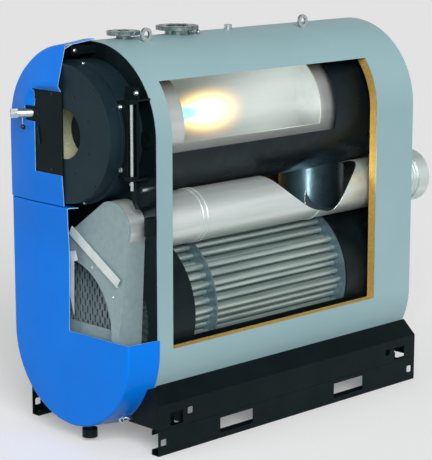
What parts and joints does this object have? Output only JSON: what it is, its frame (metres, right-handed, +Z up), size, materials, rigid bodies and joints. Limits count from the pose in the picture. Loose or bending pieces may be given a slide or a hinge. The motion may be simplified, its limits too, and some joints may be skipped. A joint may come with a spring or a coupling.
{
  "type": "cutaway industrial boiler",
  "caption": "Cutaway floor-standing fire-tube boiler: round-topped casing open on one side, furnace over a tube bundle, flue pipe, hinged burner door behind a domed hood.",
  "frame": {"origin": "middle of the footprint at floor level", "axes": "+Z up, -Y towards the hood and burner door, +X towards the cut window"},
  "size_m": [0.96, 2.3946, 2.006],
  "materials": {
    "casing_grey": "satin powder coat, grey-blue",
    "hood_blue": "satin powder coat, blue",
    "vessel_black": "satin black paint on boiler plate",
    "frame_black": "satin black powder coat",
    "stainless": "brushed stainless sheet",
    "tube_steel": "pickled stainless tube",
    "plate_steel": "mill finish plate",
    "collector_grey": "satin grey sheet",
    "wool": "mineral wool, ochre, matt",
    "ceramic": "ceramic fibre lining, matt",
    "flange_steel": "forged steel, machined face",
    "zinc": "zinc-plated steel"
  },
  "bodies": {
    "boiler": {"baffle_plate": "plate_steel", "casing_jacket": "casing_grey", "collector_strip": "collector_grey", "condensate_drain": "frame_black", "condensate_tray": "collector_grey", "cradle_front": "frame_black", "cradle_rear": "frame_black", "door_seat": "vessel_black", "door_stay": "frame_black", "drain_valve": "zinc", "flue_collector": "collector_grey", "flue_pipe": "stainless", "flue_socket": "stainless", "front_ear": "frame_black", "front_plate": "vessel_black", "front_tube_plate": "plate_steel", "furnace_rear_wall": "stainless", "furnace_tube": "stainless", "hinge_adjuster": "zinc", "hinge_bracket_lower": "frame_black", "hinge_bracket_upper": "frame_black", "hinge_pin": "zinc", "hinge_post": "frame_black", "hood_bracket": "frame_black", "insulation_blanket": "wool", "lifting_eye_front": "zinc", "lifting_eye_rear": "zinc", "lower_hood": "hood_blue", "lower_vessel_head": "vessel_black", "lower_vessel_shell": "vessel_black", "perforated_plate": "collector_grey", "rail_cover_left": "frame_black", "rail_cover_right": "frame_black", "rail_left": "frame_black", "rail_right": "frame_black", "rear_tube_plate": "plate_steel", "return_flange": "flange_steel", "saddle_front": "frame_black", "saddle_rear": "frame_black", "sensor_nipple": "zinc", "supply_flange": "flange_steel", "tube_bundle": "tube_steel", "upper_vessel_head": "vessel_black", "upper_vessel_shell": "vessel_black", "vent_cock": "zinc", "vessel_neck": "vessel_black"},
    "burner_door": {"door_drum": "frame_black", "door_lining": "ceramic", "burner_plate": "frame_black", "sight_tube": "zinc", "sight_lever": "zinc", "hinge_leaf": "frame_black", "upper_hood": "hood_blue"}
  },
  "joints": [
    {"name": "burner_door_hinge", "type": "hinge", "parent": "boiler", "child": "burner_door", "pos_m": [0.379, -1.00175, 1.524], "axis": [0, 0, 1], "range_deg": [0, 95]}
  ]
}
